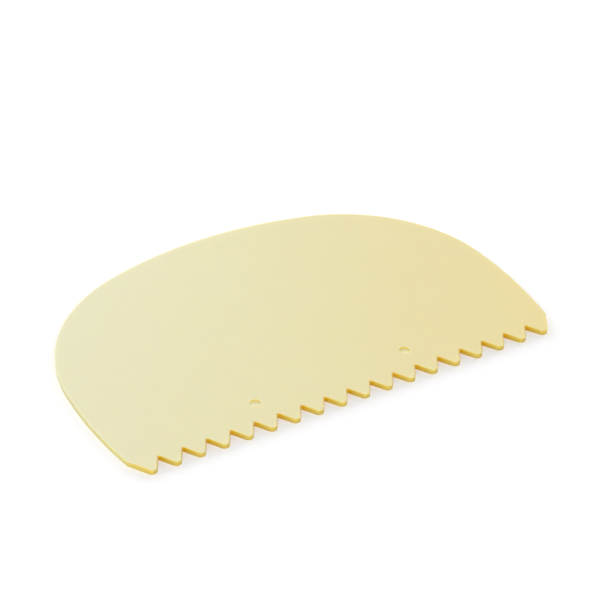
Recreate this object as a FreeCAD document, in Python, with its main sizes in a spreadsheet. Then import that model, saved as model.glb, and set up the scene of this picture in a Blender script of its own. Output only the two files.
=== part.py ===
import FreeCAD, Part
import math
import os
import Sketcher

# Cake comb: a thin scraper moulded in one piece, with an arched back to hold and a straight row of V teeth.
# It lies flat. X runs along the teeth, Y points from the teeth to the top of the arch, and Z is up.
# All sizes are in millimetres.

# Driving sizes. Heights are measured along Y from the root line, where the two flanks of a notch would meet.
DRIVING_SIZES = [
    ("overall_width", 119.4, "across the widest points of the two sides"),
    ("crown_height", 73.4, "root line to the top of the arch"),
    ("widest_height", 18.8, "root line to the widest points"),
    ("crown_radius", 96.2, "long flat arc at the top"),
    ("shoulder_radius", 43.0, "arc of each shoulder"),
    ("side_radius", 123.0, "arc of each side, which leans in again below its widest point"),
    ("plate_thickness", 1.4, "the same all over"),
    ("tooth_pitch", 6.4, "tip to tip"),
    ("tooth_depth", 4.25, "root line to the tips"),
    ("tooth_angle", 60.0, "degrees between the two flanks of a notch"),
    ("tip_radius", 1.25, "rounding of each tip in plan"),
    ("tip_share", 0.98, "most of the flat between two notches that the rounding of a tip may take"),
    ("root_radius", 0.2, "rounding at the bottom of each notch"),
    ("notch_overrun", 1.5, "how far the notch profile runs on past the tips"),
    ("end_room", 4.4, "least distance along X from the last tip to the widest point"),
    ("corner_radius", 2.0, "where a side meets the outer flank of the end tooth"),
    ("edge_break", 0.05, "tiny chamfer around both faces, which are nearly sharp"),
    ("pin_mark_diameter", 2.6, "shallow round recess that an ejector pin leaves"),
    ("pin_mark_depth", 0.4, "depth of that recess"),
    ("pin_mark_height", 6.2, "root line to the middle of the recesses"),
    ("pin_mark_left", 21.8, "middle of the comb to the left recess"),
    ("pin_mark_right", 20.1, "middle of the comb to the right recess"),
]

# Sizes that follow. One notch is in the middle, and the row is as long as the width has room for.
DERIVED_SIZES = [
    ("notches_each_side", "floor((overall_width / 2 - end_room) / tooth_pitch - 0.5)"),
    ("notch_count", "2 * notches_each_side + 1"),
    ("first_notch_distance", "notches_each_side * tooth_pitch"),
    ("end_flank_distance", "first_notch_distance + tooth_pitch"),
    ("mouth_depth", "tooth_depth + notch_overrun"),
    ("flank_slope", "90 - tooth_angle / 2"),
    ("tip_flat", "tooth_pitch - 2 * tooth_depth * tan(tooth_angle / 2)"),
    ("largest_tip_radius", "tip_share * tip_flat / 2 / tan(flank_slope / 2)"),
    ("tip_rounding", "min(tip_radius; largest_tip_radius)"),
    ("middle_height", "(crown_height - tooth_depth) / 2"),
]

# Elements of the outline sketch, in the order in which they are drawn
CROWN, RIGHT_SHOULDER, RIGHT_SIDE, RIGHT_FLANK, TIPS, LEFT_FLANK, LEFT_SIDE, LEFT_SHOULDER = range(8)
CROWN_TOP, WIDEST_POINT, FLANK_FOOT = range(8, 11)

# Positions within a sketch element, and the sketch's own origin and axes
START, END, CENTRE = 1, 2, 3
ORIGIN = (-1, START)
X_AXIS, Y_AXIS = -1, -2

HALF_TURN = 180
SAME_PLACE = 1e-4

doc = FreeCAD.newDocument("cake_comb")
sizes = doc.addObject("Spreadsheet::Sheet", "sizes")
body = doc.addObject("PartDesign::Body", "cake_comb")
body.Label = "cake_comb"


def fill_sheet():
    for row, (alias, number, meaning) in enumerate(DRIVING_SIZES, start=1):
        sizes.set("A%d" % row, meaning)
        sizes.set("B%d" % row, str(number))
        sizes.setAlias("B%d" % row, alias)
    for row, (alias, formula) in enumerate(DERIVED_SIZES, start=len(DRIVING_SIZES) + 1):
        sizes.set("B%d" % row, "=" + formula)
        sizes.setAlias("B%d" % row, alias)
    doc.recompute()


def origin_feature(role):
    return next(item for item in body.Origin.OriginFeatures if item.Role == role)


def new_sketch(name):
    sketch = body.newObject("Sketcher::SketchObject", name)
    sketch.AttachmentSupport = [(origin_feature("XY_Plane"), "")]
    sketch.MapMode = "FlatFace"
    return sketch


def point(x, y):
    return FreeCAD.Vector(x, y, 0)


def line(x1, y1, x2, y2):
    return Part.LineSegment(point(x1, y1), point(x2, y2))


def arc(centre, radius, first_degrees, last_degrees):
    circle = Part.Circle(centre, FreeCAD.Vector(0, 0, 1), radius)
    return Part.ArcOfCircle(circle, math.radians(first_degrees), math.radians(last_degrees))


def mirrored_arc(centre, radius, first_degrees, last_degrees):
    """The arc that lies on the other side of the Y axis."""
    return arc(point(-centre.x, centre.y), radius, HALF_TURN - last_degrees, HALF_TURN - first_degrees)


def relate(sketch, kind, *where):
    sketch.addConstraint(Sketcher.Constraint(kind, *where))


def measure(sketch, name, formula, kind, *where):
    """Adds a named dimension and binds it to the sheet."""
    number = sketch.evalExpression(formula)
    if kind == "Angle":
        number = math.radians(number)
    index = sketch.addConstraint(Sketcher.Constraint(kind, *where, number))
    sketch.renameConstraint(index, name)
    sketch.setExpression("Constraints." + name, formula)


def draw_outline():
    """The blank before its teeth are cut: five tangent arcs, a slanting line at each end and the tip line.

    Everything is drawn in its rough place, and the constraints then make it exact.
    """
    half_width = sizes.overall_width / 2
    end_flank = sizes.end_flank_distance

    # Directions, in degrees, in which the crown meets the shoulder, the shoulder the side, and the side ends
    crown_joint = 72
    side_joint = 7
    side_foot = -8
    crown_centre = point(0, sizes.crown_height - sizes.crown_radius)
    shoulder_centre = point(half_width - sizes.shoulder_radius, sizes.crown_height - sizes.shoulder_radius)
    side_centre = point(half_width - sizes.side_radius, sizes.widest_height)
    shoulder = (shoulder_centre, sizes.shoulder_radius, side_joint, crown_joint)
    side = (side_centre, sizes.side_radius, side_foot, side_joint)

    sketch = new_sketch("outline")
    sketch.addGeometry(
        [
            arc(crown_centre, sizes.crown_radius, crown_joint, HALF_TURN - crown_joint),
            arc(*shoulder),
            arc(*side),
            line(end_flank - sizes.tooth_depth / 2, -sizes.tooth_depth, half_width, 0),
            line(-end_flank, -sizes.tooth_depth, end_flank, -sizes.tooth_depth),
            line(-end_flank + sizes.tooth_depth / 2, -sizes.tooth_depth, -half_width, 0),
            mirrored_arc(*side),
            mirrored_arc(*shoulder),
        ]
    )
    sketch.addGeometry(
        [
            Part.Point(point(0, sizes.crown_height)),
            Part.Point(point(half_width, sizes.widest_height)),
            Part.Point(point(end_flank, 0)),
        ],
        True,
    )

    relate(sketch, "Tangent", RIGHT_SHOULDER, END, CROWN, START)
    relate(sketch, "Tangent", RIGHT_SIDE, END, RIGHT_SHOULDER, START)
    relate(sketch, "Coincident", CROWN, END, LEFT_SHOULDER, START)
    relate(sketch, "Coincident", LEFT_SHOULDER, END, LEFT_SIDE, START)
    relate(sketch, "Equal", RIGHT_SHOULDER, LEFT_SHOULDER)
    relate(sketch, "Equal", RIGHT_SIDE, LEFT_SIDE)
    relate(sketch, "Coincident", RIGHT_SIDE, START, RIGHT_FLANK, END)
    relate(sketch, "Coincident", RIGHT_FLANK, START, TIPS, END)
    relate(sketch, "Coincident", LEFT_FLANK, START, TIPS, START)
    relate(sketch, "Coincident", LEFT_SIDE, END, LEFT_FLANK, END)
    relate(sketch, "PointOnObject", CROWN, CENTRE, Y_AXIS)
    relate(sketch, "Symmetric", CROWN, START, CROWN, END, Y_AXIS)
    relate(sketch, "Symmetric", RIGHT_SIDE, END, LEFT_SIDE, START, Y_AXIS)
    relate(sketch, "Symmetric", RIGHT_SIDE, START, LEFT_SIDE, END, Y_AXIS)
    relate(sketch, "Symmetric", TIPS, START, TIPS, END, Y_AXIS)
    measure(sketch, "crown_radius", "sizes.crown_radius", "Radius", CROWN)
    measure(sketch, "shoulder_radius", "sizes.shoulder_radius", "Radius", RIGHT_SHOULDER)
    measure(sketch, "side_radius", "sizes.side_radius", "Radius", RIGHT_SIDE)

    relate(sketch, "PointOnObject", CROWN_TOP, START, Y_AXIS)
    relate(sketch, "PointOnObject", CROWN_TOP, START, CROWN)
    measure(sketch, "crown_height", "sizes.crown_height", "DistanceY", *ORIGIN, CROWN_TOP, START)
    relate(sketch, "PointOnObject", WIDEST_POINT, START, RIGHT_SIDE)
    relate(sketch, "Horizontal", WIDEST_POINT, START, RIGHT_SIDE, CENTRE)
    measure(sketch, "half_width", "sizes.overall_width / 2", "DistanceX", *ORIGIN, WIDEST_POINT, START)
    measure(sketch, "widest_height", "sizes.widest_height", "DistanceY", *ORIGIN, WIDEST_POINT, START)

    relate(sketch, "PointOnObject", FLANK_FOOT, START, X_AXIS)
    relate(sketch, "PointOnObject", FLANK_FOOT, START, RIGHT_FLANK)
    measure(sketch, "flank_distance", "sizes.end_flank_distance", "DistanceX", *ORIGIN, FLANK_FOOT, START)
    measure(sketch, "flank_slope", "sizes.flank_slope", "Angle", RIGHT_FLANK)
    measure(sketch, "tooth_depth", "sizes.tooth_depth", "DistanceY", TIPS, START, *ORIGIN)
    return sketch


def draw_notch():
    """The first notch at the left end of the row: a V with a rounded root, open past the tips."""
    apex_x = -sizes.first_notch_distance
    mouth_y = -sizes.mouth_depth
    half_mouth = sizes.tooth_pitch / 2
    root_centre = point(apex_x, -2 * sizes.root_radius)
    flank_normal = sizes.tooth_angle / 2
    right_flank, left_flank, root, mouth, apex = range(5)

    sketch = new_sketch("notch")
    sketch.addGeometry(
        [
            line(apex_x, -sizes.root_radius, apex_x + half_mouth, mouth_y),
            line(apex_x, -sizes.root_radius, apex_x - half_mouth, mouth_y),
            arc(root_centre, sizes.root_radius, flank_normal, HALF_TURN - flank_normal),
            line(apex_x - half_mouth, mouth_y, apex_x + half_mouth, mouth_y),
        ]
    )
    sketch.addGeometry([Part.Point(point(apex_x, 0))], True)

    relate(sketch, "Tangent", root, START, right_flank, START)
    relate(sketch, "Tangent", root, END, left_flank, START)
    relate(sketch, "Coincident", right_flank, END, mouth, END)
    relate(sketch, "Coincident", left_flank, END, mouth, START)
    relate(sketch, "Horizontal", mouth)
    relate(sketch, "PointOnObject", apex, START, right_flank)
    relate(sketch, "PointOnObject", apex, START, left_flank)
    relate(sketch, "PointOnObject", apex, START, X_AXIS)
    relate(sketch, "Vertical", apex, START, root, CENTRE)
    measure(sketch, "apex_distance", "sizes.first_notch_distance", "DistanceX", apex, START, *ORIGIN)
    measure(sketch, "root_radius", "sizes.root_radius", "Radius", root)
    measure(sketch, "flank_slope", "-sizes.flank_slope", "Angle", right_flank)
    measure(sketch, "mouth_depth", "sizes.mouth_depth", "DistanceY", mouth, START, *ORIGIN)
    return sketch


def draw_pin_marks():
    """Two small circles on the upper face, one each side of the middle."""
    sketch = new_sketch("pin_marks")
    sketch.setExpression("AttachmentOffset.Base.z", "sizes.plate_thickness")
    radius = sizes.pin_mark_diameter / 2
    left_mark, right_mark = range(2)
    sketch.addGeometry(
        [
            Part.Circle(point(-sizes.pin_mark_left, sizes.pin_mark_height), FreeCAD.Vector(0, 0, 1), radius),
            Part.Circle(point(sizes.pin_mark_right, sizes.pin_mark_height), FreeCAD.Vector(0, 0, 1), radius),
        ]
    )
    relate(sketch, "Horizontal", left_mark, CENTRE, right_mark, CENTRE)
    relate(sketch, "Equal", left_mark, right_mark)
    measure(sketch, "mark_diameter", "sizes.pin_mark_diameter", "Diameter", left_mark)
    measure(sketch, "mark_height", "sizes.pin_mark_height", "DistanceY", *ORIGIN, left_mark, CENTRE)
    measure(sketch, "left_distance", "sizes.pin_mark_left", "DistanceX", left_mark, CENTRE, *ORIGIN)
    measure(sketch, "right_distance", "sizes.pin_mark_right", "DistanceX", *ORIGIN, right_mark, CENTRE)
    return sketch


def edges_where(feature, wanted):
    """Names of the feature's edges whose two ends pass a test."""
    edges = enumerate(feature.Shape.Edges, start=1)
    return ["Edge%d" % number for number, edge in edges if wanted(*(end.Point for end in edge.Vertexes))]


def round_off(name, base, edge_names, radius_formula):
    fillet = body.newObject("PartDesign::Fillet", name)
    fillet.Base = (base, edge_names)
    fillet.setExpression("Radius", radius_formula)
    doc.recompute()
    return fillet


def is_upright(first, last):
    return abs(first.z - last.z) > sizes.plate_thickness / 2


def is_at_tip(first, last):
    on_tip_line = abs(first.y + sizes.tooth_depth) < SAME_PLACE
    return is_upright(first, last) and on_tip_line


def is_at_corner(first, last):
    corner = outline.getPoint(RIGHT_SIDE, START)
    beside_corner = abs(abs(first.x) - corner.x) < SAME_PLACE and abs(first.y - corner.y) < SAME_PLACE
    return is_upright(first, last) and beside_corner


def is_around_a_face(first, last):
    lies_flat = abs(first.z - last.z) < SAME_PLACE
    on_a_face = min(abs(first.z), abs(first.z - sizes.plate_thickness)) < SAME_PLACE
    return lies_flat and on_a_face


def cut(name, sketch):
    pocket = body.newObject("PartDesign::Pocket", name)
    pocket.Profile = sketch
    return pocket


fill_sheet()

outline = draw_outline()
plate = body.newObject("PartDesign::Pad", "plate")
plate.Profile = outline
plate.setExpression("Length", "sizes.plate_thickness")
doc.recompute()

notch = draw_notch()
first_notch = cut("first_notch", notch)
first_notch.Type = "ThroughAll"
first_notch.Reversed = True
doc.recompute()

teeth = body.newObject("PartDesign::LinearPattern", "teeth")
teeth.Originals = [first_notch]
teeth.Direction = (notch, ["H_Axis"])
teeth.Mode = "Spacing"
teeth.setExpression("Offset", "sizes.tooth_pitch")
teeth.setExpression("Occurrences", "sizes.notch_count")
body.Tip = teeth
doc.recompute()

tips = round_off("round_tips", teeth, edges_where(teeth, is_at_tip), "sizes.tip_rounding")
corners = round_off("round_corners", tips, edges_where(tips, is_at_corner), "sizes.corner_radius")

edges = body.newObject("PartDesign::Chamfer", "broken_edges")
edges.Base = (corners, edges_where(corners, is_around_a_face))
edges.setExpression("Size", "sizes.edge_break")
doc.recompute()

marks = draw_pin_marks()
doc.recompute()
recesses = cut("pin_mark_recesses", marks)
recesses.setExpression("Length", "sizes.pin_mark_depth")
body.Tip = recesses
body.setExpression("Placement.Base.y", "-sizes.middle_height")
doc.recompute()

for item in doc.Objects:
    if "Invalid" in item.State or "Error" in item.State:
        raise RuntimeError("%s did not build: %s" % (item.Label, item.State))

# Each step takes material away, so one that has cut nothing shows here.
steps = [plate, first_notch, teeth, tips, corners, edges, recesses]
for before, after in zip(steps, steps[1:]):
    if after.Shape.Volume >= before.Shape.Volume:
        raise RuntimeError("%s removes nothing" % after.Label)
if body.Shape.isNull() or not body.Shape.isValid() or len(body.Shape.Solids) != 1:
    raise RuntimeError("the comb is not one sound solid")

os.makedirs("parts", exist_ok=True)
body.Shape.exportStep("parts/%s.step" % body.Label)
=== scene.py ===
import math
import bpy
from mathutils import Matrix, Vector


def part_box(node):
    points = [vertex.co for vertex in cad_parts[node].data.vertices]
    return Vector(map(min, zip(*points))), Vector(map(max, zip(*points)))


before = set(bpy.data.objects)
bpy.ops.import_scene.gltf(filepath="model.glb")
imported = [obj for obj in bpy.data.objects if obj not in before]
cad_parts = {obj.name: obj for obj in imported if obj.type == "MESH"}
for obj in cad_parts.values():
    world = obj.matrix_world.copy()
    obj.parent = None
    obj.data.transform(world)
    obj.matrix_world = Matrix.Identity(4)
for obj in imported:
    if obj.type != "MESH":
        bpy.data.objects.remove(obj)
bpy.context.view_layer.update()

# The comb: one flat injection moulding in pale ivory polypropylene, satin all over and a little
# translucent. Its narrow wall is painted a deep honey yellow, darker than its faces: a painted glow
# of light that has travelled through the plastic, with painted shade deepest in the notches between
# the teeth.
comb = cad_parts["cake_comb"]
comb_low, comb_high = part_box("cake_comb")

plastic = bpy.data.materials.new("satin_ivory_plastic")
plastic.use_nodes = True
plastic_tree = plastic.node_tree
satin = plastic_tree.nodes["Principled BSDF"]
satin.inputs["Roughness"].default_value = 0.45
satin.inputs["IOR"].default_value = 1.49
satin.inputs["Subsurface Weight"].default_value = 0.5
satin.inputs["Subsurface Radius"].default_value = (1.0, 0.7, 0.25)
satin.inputs["Subsurface Scale"].default_value = 0.002


def feed(socket, value):
    if isinstance(value, bpy.types.NodeSocket):
        socket.id_data.links.new(value, socket)
    else:
        socket.default_value = value


place = plastic_tree.nodes.new("ShaderNodeTexCoord")
axes = plastic_tree.nodes.new("ShaderNodeSeparateXYZ")
feed(axes.inputs["Vector"], place.outputs["Object"])
along_row = axes.outputs["X"]
towards_crown = axes.outputs["Y"]
above_table = axes.outputs["Z"]

# The two faces of the plate are nearly even. Their colour carries painted light: a cooler ivory at
# the left end, warmer and deeper at the right one, and cooler towards the crown. Faint clouds show
# where the melt cooled unevenly.
cloud_scale = 45
cloud_detail = 3
cloud_strength = 0.1
left_end_painted_cool_ivory = (0.712, 0.674, 0.407, 1)
middle_ivory = (0.723, 0.657, 0.339, 1)
right_end_painted_warm_ivory = (0.729, 0.612, 0.265, 1)
crown_painted_cool_light = (0.923, 0.967, 1.066, 1)


def mottle(scale, detail):
    node = plastic_tree.nodes.new("ShaderNodeTexNoise")
    node.inputs["Scale"].default_value = scale
    node.inputs["Detail"].default_value = detail
    feed(node.inputs["Vector"], place.outputs["Object"])
    return node.outputs["Fac"]


def fade(tree, distance, start, end, least=0.0, most=1.0):
    node = tree.nodes.new("ShaderNodeMapRange")
    node.inputs["From Min"].default_value = start
    node.inputs["From Max"].default_value = end
    node.inputs["To Min"].default_value = least
    node.inputs["To Max"].default_value = most
    feed(node.inputs["Value"], distance)
    return node.outputs["Result"]


def reckon(tree, kind, first, second):
    node = tree.nodes.new("ShaderNodeMath")
    node.operation = kind
    feed(node.inputs[0], first)
    feed(node.inputs[1], second)
    return node.outputs["Value"]


def shades_along(distance, first_shade, last_shade, between):
    node = plastic_tree.nodes.new("ShaderNodeValToRGB")
    stops = node.color_ramp.elements
    stops[0].position = 0.0
    stops[0].color = first_shade
    stops[1].position = 1.0
    stops[1].color = last_shade
    for position, shade in between:
        stop = stops.new(position)
        stop.color = shade
    feed(node.inputs["Fac"], distance)
    return node.outputs["Color"]


def shade_over(amount, under, over, kind="MIX"):
    amount_input = 0
    under_input = 6
    over_input = 7
    colour_output = 2
    node = plastic_tree.nodes.new("ShaderNodeMix")
    node.data_type = "RGBA"
    node.blend_type = kind
    feed(node.inputs[amount_input], amount)
    feed(node.inputs[under_input], under)
    feed(node.inputs[over_input], over)
    return node.outputs[colour_output]


clouds = mottle(cloud_scale, cloud_detail)
cloudiness = fade(plastic_tree, clouds, 0.0, 1.0, -cloud_strength, cloud_strength)
from_left_end = fade(plastic_tree, along_row, comb_low[0], comb_high[0])
cloudy_place = reckon(plastic_tree, "ADD", from_left_end, cloudiness)
# Painted light: the shade drifts from the left end's cool ivory to the right end's warm, deeper one.
ivory = shades_along(cloudy_place, left_end_painted_cool_ivory, right_end_painted_warm_ivory, [(0.5, middle_ivory)])
from_teeth = fade(plastic_tree, towards_crown, comb_low[1], comb_high[1])
# Painted light: a cooler tint towards the crown and a warmer one towards the teeth.
face_with_painted_light = shade_over(from_teeth, ivory, crown_painted_cool_light, "MULTIPLY")

# The wall is the moulding's own edge. Its painted light and shade run from the tips of the teeth to
# the deepest painted shade at the roots of the notches and then up the two sides, and it is painted
# lighter near its upper edge.
tooth_depth = 0.00425
tip_line = comb_low[1]
wall_reach = 0.035
tooth_part = tooth_depth / wall_reach
# Painted light and shade: lighter at the tips, deepest at the roots of the notches.
tip_painted_light = (0.687, 0.495, 0.088, 1)
flank_painted_shade = (0.645, 0.422, 0.0435, 1)
root_painted_deep_shade = (0.66, 0.372, 0.001, 1)
side_foot_gold = (0.8, 0.665, 0.204, 1)
side_gold = (0.735, 0.63, 0.262, 1)
# Painted light: the upper part of the wall is lighter.
upper_edge_painted_light = (1.09, 1.26, 1.66, 1)
up_the_wall = fade(plastic_tree, towards_crown, tip_line, tip_line + wall_reach)
shades_round_roots = [
    (0.5 * tooth_part, flank_painted_shade),
    (0.9 * tooth_part, root_painted_deep_shade),
    (1.1 * tooth_part, side_foot_gold),
]
wall_painted_light_and_shade = shades_along(up_the_wall, tip_painted_light, side_gold, shades_round_roots)
near_upper_edge = fade(plastic_tree, above_table, 0.5 * comb_high[2], comb_high[2])
wall_with_painted_upper_light = shade_over(near_upper_edge, wall_painted_light_and_shade, upper_edge_painted_light, "MULTIPLY")

# Wall and faces are one surface of one piece, so they are told apart by which way it points. The
# narrow broken edge between them leans halfway and takes the face's shade.
face_lean = 0.65
wall_lean = 0.3
pointing = plastic_tree.nodes.new("ShaderNodeSeparateXYZ")
feed(pointing.inputs["Vector"], place.outputs["Normal"])
lean = reckon(plastic_tree, "ABSOLUTE", pointing.outputs["Z"], 0.0)
on_wall = fade(plastic_tree, lean, face_lean, wall_lean)

# The notches: V cuts with a rounded root. A narrow line on the face along each V is painted in the
# walls' honey shade, a painted shade standing in for the shaded flank wall seen edge-on. It follows
# the distance from the nearest flank or the root's rounding, and whole pitches are added so that no
# place is negative.
tooth_pitch = 0.0064
whole_pitches = 100
half_notch_angle = math.radians(30)
root_radius = 0.0002
root_line = tip_line + tooth_depth
golden_line_width = 0.0003
full_gold_width = 0.3 * golden_line_width
past_notches = reckon(plastic_tree, "ADD", along_row, (whole_pitches + 0.5) * tooth_pitch)
past_last_notch = reckon(plastic_tree, "MODULO", past_notches, tooth_pitch)
right_of_notch = reckon(plastic_tree, "ADD", past_last_notch, -0.5 * tooth_pitch)
from_notch = reckon(plastic_tree, "ABSOLUTE", right_of_notch, 0.0)
above_root = reckon(plastic_tree, "ADD", towards_crown, -root_line)
across_part = reckon(plastic_tree, "MULTIPLY", from_notch, math.cos(half_notch_angle))
upward_part = reckon(plastic_tree, "MULTIPLY", above_root, math.sin(half_notch_angle))
from_flank = reckon(plastic_tree, "ADD", across_part, upward_part)
from_rounding = reckon(plastic_tree, "ADD", above_root, root_radius)
from_notch_edge = reckon(plastic_tree, "MAXIMUM", from_flank, from_rounding)
golden_line = fade(plastic_tree, from_notch_edge, golden_line_width, full_gold_width)
golden = reckon(plastic_tree, "MAXIMUM", on_wall, golden_line)

# The two pin marks are shallow round recesses that the mould's ejector pins left in the upper face.
# Their walls are painted golden as the flanks are, a painted light lighter than the flanks' that
# lifts the shade of the recess, and the right one is painted a little deeper in colour.
pin_mark_reach = 0.04
pin_mark_foot = 0.002
pin_mark_head = 0.02
left_mark_wall_painted_light = (0.79, 0.62, 0.134, 1)
right_mark_wall_painted_light = (0.757, 0.59, 0.077, 1)
from_middle = reckon(plastic_tree, "ABSOLUTE", along_row, 0.0)
between_ends = reckon(plastic_tree, "LESS_THAN", from_middle, pin_mark_reach)
above_foot = reckon(plastic_tree, "GREATER_THAN", above_root, pin_mark_foot)
below_head = reckon(plastic_tree, "LESS_THAN", above_root, pin_mark_head)
between_ends_above_foot = reckon(plastic_tree, "MULTIPLY", between_ends, above_foot)
at_marks = reckon(plastic_tree, "MULTIPLY", between_ends_above_foot, below_head)
on_right = reckon(plastic_tree, "GREATER_THAN", along_row, 0.0)
mark_wall_painted_light = shade_over(on_right, left_mark_wall_painted_light, right_mark_wall_painted_light)
wall_painted_with_marks = shade_over(at_marks, wall_with_painted_upper_light, mark_wall_painted_light)

# The row of teeth ends in a slanting flank on each side. These two aren't inside a notch, so they
# are painted lighter than its flanks, a painted light, and they blend into the side walls above
# them.
end_tip_in_pitches = 8.55
end_tip = end_tip_in_pitches * tooth_pitch
end_blend_top = 0.003
end_blend_foot = 0.0002
end_flank_painted_light = (0.785, 0.583, 0.12, 1)
beyond_tips = reckon(plastic_tree, "GREATER_THAN", from_middle, end_tip)
below_blend = fade(plastic_tree, above_root, end_blend_top, end_blend_foot)
on_end = reckon(plastic_tree, "MULTIPLY", beyond_tips, below_blend)
wall_painted_with_ends = shade_over(on_end, wall_painted_with_marks, end_flank_painted_light)

# On the left of each notch the flank faces away from the light, so the golden line is darker there.
# The two ends of the row have no such line.
dark_line_tint = (0.82, 0.68, 0.3, 1)
left_of_notch = reckon(plastic_tree, "LESS_THAN", right_of_notch, 0.0)
on_face = reckon(plastic_tree, "SUBTRACT", 1.0, on_wall)
dark_side = reckon(plastic_tree, "MULTIPLY", left_of_notch, on_face)
dark_side_without_ends = reckon(plastic_tree, "SUBTRACT", dark_side, beyond_tips)
dark_line = reckon(plastic_tree, "MAXIMUM", dark_side_without_ends, 0.0)
golden_shade = shade_over(dark_line, wall_painted_with_ends, dark_line_tint, "MULTIPLY")

# The floors of the pin marks are painted a shade lighter than the face, a painted light that lifts
# the shade of the recesses.
# They are found by their height, inside the same stretch of the plate as the marks' walls.
pin_mark_depth = 0.0004
half_floor_band = 0.0001
left_pin_floor_painted_light = (1.16, 1.17, 1.29, 1)
right_pin_floor_painted_light = (1.19, 1.24, 1.32, 1)
mark_floor = comb_high[2] - pin_mark_depth
below_face = reckon(plastic_tree, "LESS_THAN", above_table, mark_floor + half_floor_band)
above_underside = reckon(plastic_tree, "GREATER_THAN", above_table, mark_floor - half_floor_band)
below_face_at_marks = reckon(plastic_tree, "MULTIPLY", at_marks, below_face)
on_mark_floor = reckon(plastic_tree, "MULTIPLY", below_face_at_marks, above_underside)
pin_floor_painted_light = shade_over(on_right, left_pin_floor_painted_light, right_pin_floor_painted_light)
face_and_pin_floors_painted_light = shade_over(on_mark_floor, face_with_painted_light, pin_floor_painted_light, "MULTIPLY")
feed(satin.inputs["Base Color"], shade_over(golden, face_and_pin_floors_painted_light, golden_shade))

# The skin: the mould was fine-blasted, which leaves the plastic satin, with a grain that can be
# felt but hardly seen.
grain_scale = 2500
grain_detail = 2
skin = plastic_tree.nodes.new("ShaderNodeBump")
skin.inputs["Strength"].default_value = 0.1
skin.inputs["Distance"].default_value = 0.00002
feed(skin.inputs["Height"], mottle(grain_scale, grain_detail))
feed(satin.inputs["Normal"], skin.outputs["Normal"])

for slot in comb.material_slots:
    slot.material = plastic

# The table: a plain white paper sweep that the comb lies on. It keeps the comb's soft shadow and is
# pure white elsewhere in the picture, so its lift towards white grows with the distance.
table_half_width = 1.5
paper_white = (0.8, 0.8, 0.8, 1)
lift_tint = (0.985, 1, 1.025, 1)
lift_at_comb = 0.2265
lift_far_off = 1.0
sweep_start = 0.1
sweep_end = 0.5
bpy.ops.mesh.primitive_plane_add(size=2 * table_half_width, location=(0, 0, comb_low[2]))
table = bpy.context.object
table.name = "table"
paper = bpy.data.materials.new("white_paper")
paper.use_nodes = True
paper_tree = paper.node_tree
matt_paper = paper_tree.nodes["Principled BSDF"]
matt_paper.inputs["Base Color"].default_value = paper_white
matt_paper.inputs["Roughness"].default_value = 0.9
matt_paper.inputs["Specular IOR Level"].default_value = 0.0


def seen_or_mirrored(tree):
    ray = tree.nodes.new("ShaderNodeLightPath")
    seen = reckon(tree, "MAXIMUM", ray.outputs["Is Camera Ray"], ray.outputs["Is Glossy Ray"])
    return reckon(tree, "MAXIMUM", seen, ray.outputs["Is Transmission Ray"])


table_place = paper_tree.nodes.new("ShaderNodeTexCoord")
from_comb = paper_tree.nodes.new("ShaderNodeVectorMath")
from_comb.operation = "LENGTH"
feed(from_comb.inputs[0], table_place.outputs["Object"])
distance_from_comb = from_comb.outputs["Value"]
sweep = fade(paper_tree, distance_from_comb, sweep_start, sweep_end, lift_at_comb, lift_far_off)
lift = reckon(paper_tree, "MULTIPLY", seen_or_mirrored(paper_tree), sweep)
matt_paper.inputs["Emission Color"].default_value = lift_tint
feed(matt_paper.inputs["Emission Strength"], lift)
table.data.materials.append(paper)

# The room: dim even light from all round, and pure white where the camera or a reflection sees it.
# Two backgrounds are mixed by the kind of ray.
room_white = (1, 1, 1, 1)
world = bpy.data.worlds.new("room")
bpy.context.scene.world = world
world.use_nodes = True
room_tree = world.node_tree
room_light = room_tree.nodes["Background"]
room_light.inputs["Color"].default_value = room_white
room_light.inputs["Strength"].default_value = 0.18
room_wall = room_tree.nodes.new("ShaderNodeBackground")
room_wall.inputs["Color"].default_value = room_white
room_wall.inputs["Strength"].default_value = 1.0
room_mix = room_tree.nodes.new("ShaderNodeMixShader")
feed(room_mix.inputs["Fac"], seen_or_mirrored(room_tree))
feed(room_mix.inputs[1], room_light.outputs["Background"])
feed(room_mix.inputs[2], room_wall.outputs["Background"])
feed(room_tree.nodes["World Output"].inputs["Surface"], room_mix.outputs["Shader"])


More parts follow.
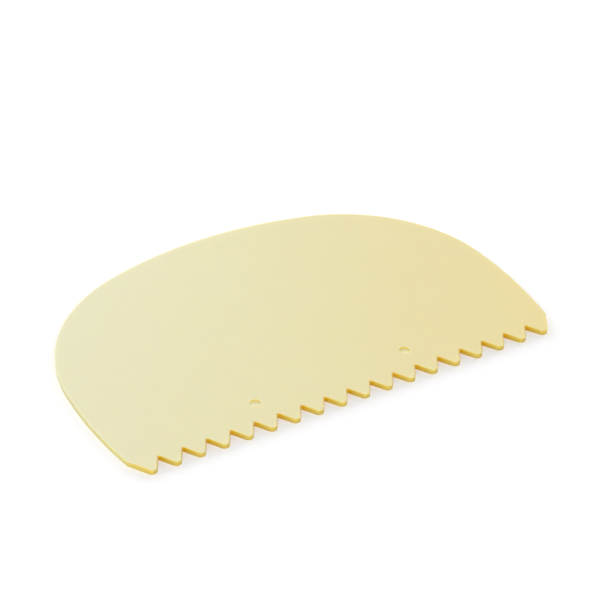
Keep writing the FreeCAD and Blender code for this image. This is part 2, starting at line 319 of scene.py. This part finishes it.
# The lamps: seven soft boxes, each given by its place, what it is turned to, its width and height
# in metres, its watts and its tint. The low one behind the comb and the one far to its right throw
# its soft shadow towards the camera, and the front one fills the notches.
def soft_box(name, location, target, width, height, energy, colour):
    lamp = bpy.data.lights.new(name, "AREA")
    lamp.shape = "RECTANGLE"
    lamp.size = width
    lamp.size_y = height
    lamp.energy = energy
    lamp.color = colour
    lamp_object = bpy.data.objects.new(name, lamp)
    bpy.context.scene.collection.objects.link(lamp_object)
    lamp_object.location = location
    aim = Vector(target) - Vector(location)
    lamp_object.rotation_euler = aim.to_track_quat("-Z", "Y").to_euler()


soft_box("low_back", (-0.1, 0.8, 0.2), (0, 0, 0.05), 1.2, 0.3, 5.1, (1, 1, 1))
soft_box("far_right", (0.85, 0.4, 0.25), (0, 0, 0.03), 0.5, 0.3, 1.89, (1, 1, 1))
soft_box("right_back", (0.42, 0.2, 0.22), (0, 0, 0), 0.4, 0.3, 0.858, (1, 0.961, 0.85))
soft_box("back_veil", (0.085, 0.4, 0.29), (-0.03, 0, 0), 0.35, 0.25, 0.489, (1, 0.98, 1.15))
soft_box("left_back", (-0.36, 0.21, 0.28), (0, 0, 0), 0.4, 0.3, 0.558, (1, 1.007, 0.93))
soft_box("right_front", (0.36, -0.21, 0.28), (0, 0, 0), 0.4, 0.3, 0.093, (1, 0.98, 1))
soft_box("front", (-0.3, -0.7, 0.45), (0, 0, 0), 0.6, 0.5, 5.53, (1, 1, 1.01))

# The camera stands well back on the side of the teeth, a little to the left, and looks down on the
# comb through a long lens.
camera_turn = math.radians(30.23)
camera_height_angle = math.radians(35.44)
camera_distance = 0.7239
camera_target = Vector((0.00967, 0.00435, 0))
camera_data = bpy.data.cameras.new("camera")
camera_data.sensor_width = 36
camera_data.lens = 173.19
camera = bpy.data.objects.new("camera", camera_data)
bpy.context.scene.collection.objects.link(camera)
camera.rotation_euler = (math.pi / 2 - camera_height_angle, 0, -camera_turn)
towards_camera = Vector(
    (
        -math.sin(camera_turn) * math.cos(camera_height_angle),
        -math.cos(camera_turn) * math.cos(camera_height_angle),
        math.sin(camera_height_angle),
    )
)
camera.location = camera_target + camera_distance * towards_camera
bpy.context.scene.camera = camera
bpy.context.scene.view_settings.view_transform = "Standard"
